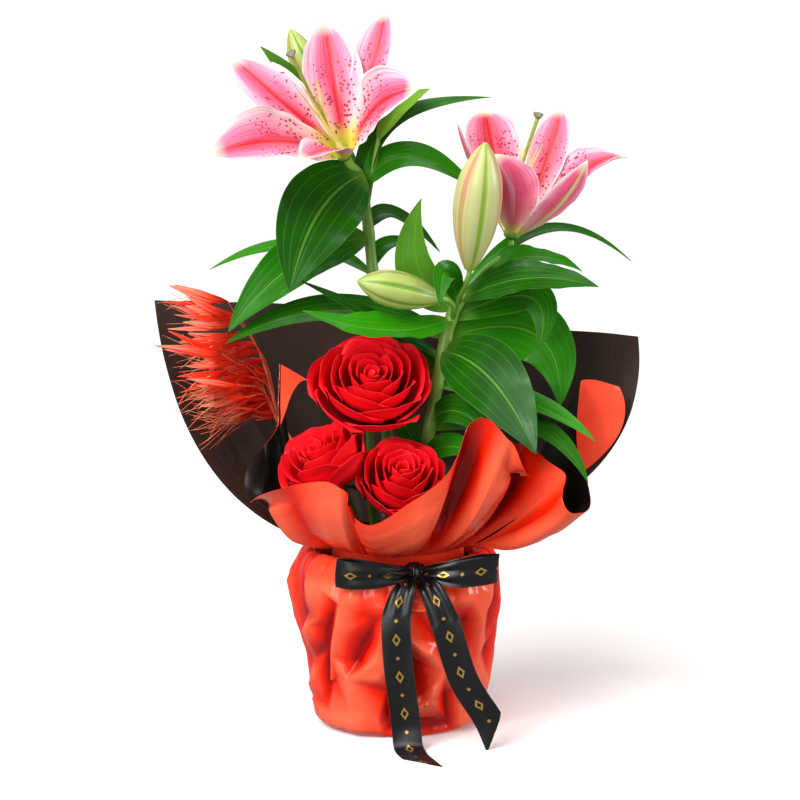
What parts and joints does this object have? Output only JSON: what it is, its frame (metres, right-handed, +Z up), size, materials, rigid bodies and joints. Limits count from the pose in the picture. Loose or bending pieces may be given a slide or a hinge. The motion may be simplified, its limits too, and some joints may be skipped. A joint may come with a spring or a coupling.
{
  "type": "mixed flower bouquet",
  "caption": "Mixed bouquet of lilies, roses and dyed oats in wet foam, its pot wrapped in two-tone film that is gathered at the neck and tied with a satin ribbon bow.",
  "frame": {"origin": "centre of the flat base, on the surface that the wrapped pot stands on", "axes": "+Z up through the stems, -Y towards the viewer and the ribbon bow, +X towards the upright bud"},
  "size_m": [0.3396, 0.2109, 0.4966],
  "materials": {
    "pot_plastic": "satin",
    "wet_foam": "matte",
    "film": "satin",
    "satin_ribbon": "satin",
    "leaf_green": "satin",
    "lily_pink": "satin",
    "lily_pistil": "satin",
    "bud_green": "satin",
    "rose_red": "velvet",
    "dyed_oat": "matte"
  },
  "bodies": {
    "root": {"pot": "pot_plastic", "foam": "wet_foam", "wrap_pouch": "film", "wrap_front": "film", "wrap_back": "film", "ribbon_band": "satin_ribbon", "ribbon_bow": "satin_ribbon", "lily_left_stem": "leaf_green", "lily_left_flower": "lily_pink", "lily_left_pistil": "lily_pistil", "lily_left_bud": "bud_green", "lily_right_stem": "leaf_green", "lily_right_flower": "lily_pink", "lily_right_pistil": "lily_pistil", "lily_right_bud_upright": "bud_green", "lily_right_bud_side": "bud_green", "rose_large_bloom": "rose_red", "rose_left_bloom": "rose_red", "rose_right_bloom": "rose_red", "rose_large_stem": "leaf_green", "rose_left_stem": "leaf_green", "rose_right_stem": "leaf_green", "oat_bunch": "dyed_oat"}
  },
  "joints": []
}
